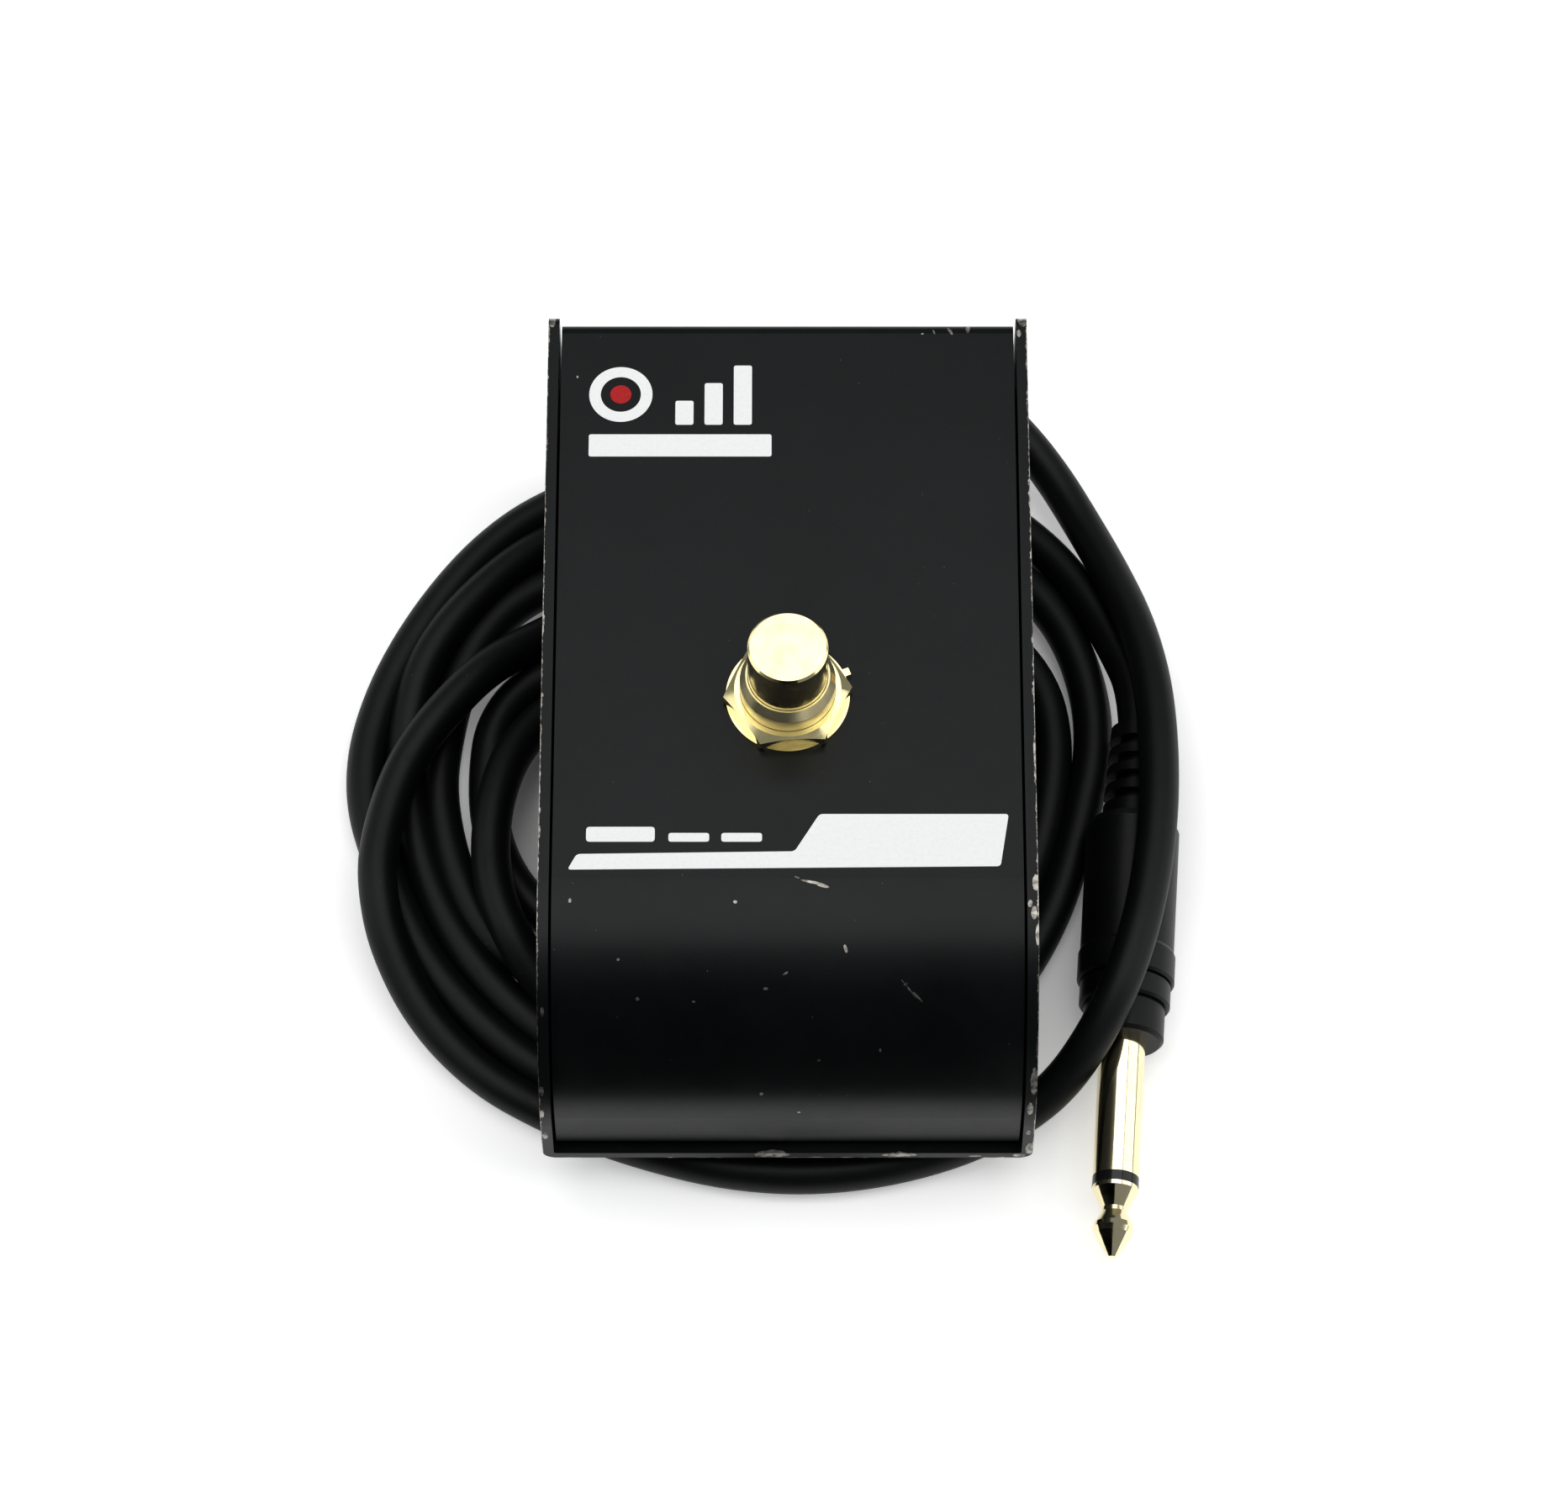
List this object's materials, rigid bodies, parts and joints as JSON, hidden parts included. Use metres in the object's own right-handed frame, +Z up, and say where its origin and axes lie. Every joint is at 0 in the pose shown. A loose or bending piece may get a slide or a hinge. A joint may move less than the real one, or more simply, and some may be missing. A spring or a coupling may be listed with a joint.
{
  "type": "latching foot switch with captive lead",
  "caption": "Folded black steel foot-switch box with a metal push button, resting on its coiled captive lead with a moulded jack plug.",
  "frame": {"origin": "on the floor under the middle of the box; the coil of lead lies on the floor and the box's feet rest on the coil", "axes": "+X to the user's right, +Y to the rear, away from the front curve, +Z up along the push button"},
  "size_m": [0.1165, 0.138, 0.0576],
  "materials": {
    "painted_base": "satin black paint, chipped to bare steel along the edges",
    "painted_cover": "satin black paint, fine dust and small chips",
    "zinc_steel": "zinc plated",
    "nickel": "warm bright nickel plate",
    "spring_steel": "drawn spring wire",
    "foot_rubber": "matt moulded rubber",
    "case_plastic": "moulded switch case",
    "moving_plastic": "natural acetal",
    "contact_metal": "silver-faced brass",
    "lead_jacket": "satin flexible PVC",
    "core_insulation": "thin PVC insulation",
    "plug_moulding": "satin moulded PVC",
    "plug_metal": "warm bright nickel plate",
    "insulator_plastic": "glossy black",
    "tie_nylon": "natural nylon"
  },
  "bodies": {
    "housing": {"base_channel": "painted_base", "cable_grommet": "foot_rubber", "cable_tie": "tie_nylon", "cover_screws": "zinc_steel", "foot_front_left": "foot_rubber", "foot_front_right": "foot_rubber", "foot_rear_left": "foot_rubber", "foot_rear_right": "foot_rubber", "ground_wire": "core_insulation", "lead_coil": "lead_jacket", "lead_inner_end": "lead_jacket", "lead_out_tube": "lead_jacket", "lead_plug_tube": "lead_jacket", "plug_grip": "plug_moulding", "plug_insulator": "insulator_plastic", "plug_sleeve": "plug_metal", "plug_strain_relief": "plug_moulding", "plug_tip": "plug_metal", "return_spring": "spring_steel", "rocker_axle": "zinc_steel", "signal_wire": "core_insulation", "switch_bushing": "nickel", "switch_frame": "zinc_steel", "switch_hex_nut": "nickel", "switch_housing": "case_plastic", "switch_lock_washer": "zinc_steel", "switch_lower_nut": "nickel", "switch_washer": "nickel", "terminal_closed": "contact_metal", "terminal_common": "contact_metal", "terminal_open": "contact_metal", "top_cover": "painted_cover"},
    "button": {"switch_button": "nickel", "actuator_pin": "zinc_steel", "pin_retaining_clip": "spring_steel", "push_cam": "moving_plastic"},
    "rocker": {"contact_rocker": "moving_plastic", "contact_bridge": "contact_metal"}
  },
  "joints": [
    {"name": "button_press", "type": "slide", "parent": "housing", "child": "button", "axis": [0, 0, -1], "range_m": [0, 0.004], "stiffness_N_per_m": 1500, "springref_m": -0.004, "deforming": ["return_spring"]},
    {"name": "rocker_tilt", "type": "hinge", "parent": "housing", "child": "rocker", "pos_m": [0, -0.0038, 0.024], "axis": [1, 0, 0], "range_deg": [0, 24]}
  ]
}
